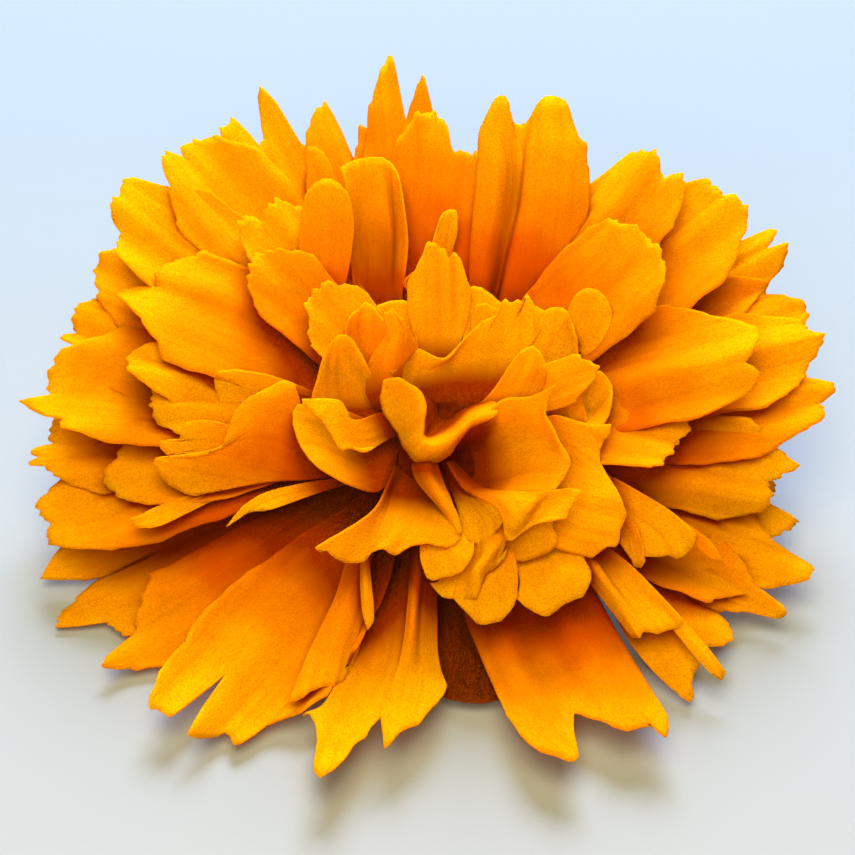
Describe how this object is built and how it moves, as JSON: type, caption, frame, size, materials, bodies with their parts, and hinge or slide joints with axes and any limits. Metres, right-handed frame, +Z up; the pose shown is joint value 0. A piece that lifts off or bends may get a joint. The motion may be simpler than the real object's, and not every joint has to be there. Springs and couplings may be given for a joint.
{
  "type": "coreopsis flower",
  "caption": "Double coreopsis flower head in golden orange, with toothed petals in layers round a ruffled tuft, picked with a short stem end it stands on.",
  "frame": {"origin": "middle of the flat cut face of the short stem end, on the surface the flower rests on", "axes": "+Z up from the surface; the flower's own axis leans 15 degrees from +Z towards -Y, so the front petals rest on the surface at -Y; +X to the right"},
  "size_m": [0.0544, 0.0488, 0.0224],
  "materials": {
    "petal": "matte",
    "inner_bract": "matte",
    "stem_green": "matte"
  },
  "bodies": {
    "root": {"petals": "petal", "inner_bracts": "inner_bract", "stem_and_outer_bracts": "stem_green"}
  },
  "joints": []
}
